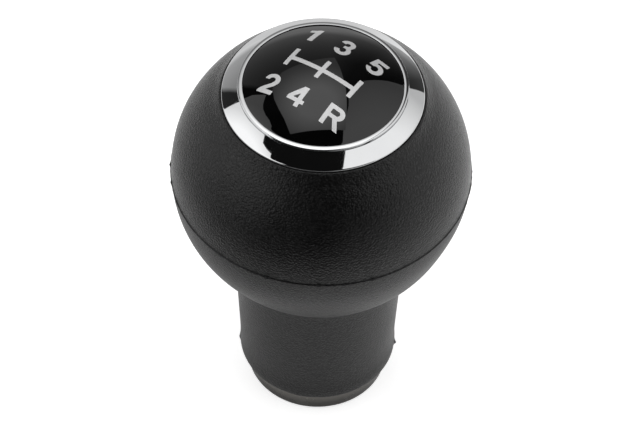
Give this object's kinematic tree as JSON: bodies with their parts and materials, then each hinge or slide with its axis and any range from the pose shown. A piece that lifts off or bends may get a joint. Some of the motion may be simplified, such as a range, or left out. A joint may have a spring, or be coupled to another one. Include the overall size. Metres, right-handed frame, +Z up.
{
  "type": "gear shift knob",
  "caption": "Ball-shaped gear shift knob with a tapered neck, a plated trim ring, a domed cap with the gear pattern, and a split bush for a plain lever.",
  "frame": {"origin": "centre of the collar's flat foot, where the knob stands and where the lever enters", "axes": "+Z up along the lever's axis towards the domed cap, +Y towards gears 1, 3 and 5 of the pattern, +X towards gear 5 and reverse"},
  "size_m": [0.0522, 0.0522, 0.0779],
  "materials": {
    "grip_foam": "black soft-touch foam skin with a fine leather-like grain",
    "insert_plastic": "black glass-filled nylon, satin to glossy",
    "ring_plating": "bright chrome plating on a plastic moulding",
    "cap_plastic": "polished deep black with silver-grey numbers",
    "bush_plastic": "natural grey-brown acetal, smooth",
    "spring_steel": "drawn spring wire"
  },
  "bodies": {
    "root": {"grip_cover": "grip_foam", "core": "insert_plastic", "trim_ring": "ring_plating", "pattern_cap": "cap_plastic", "lever_bush": "bush_plastic", "clamp_ring": "spring_steel"}
  },
  "joints": []
}
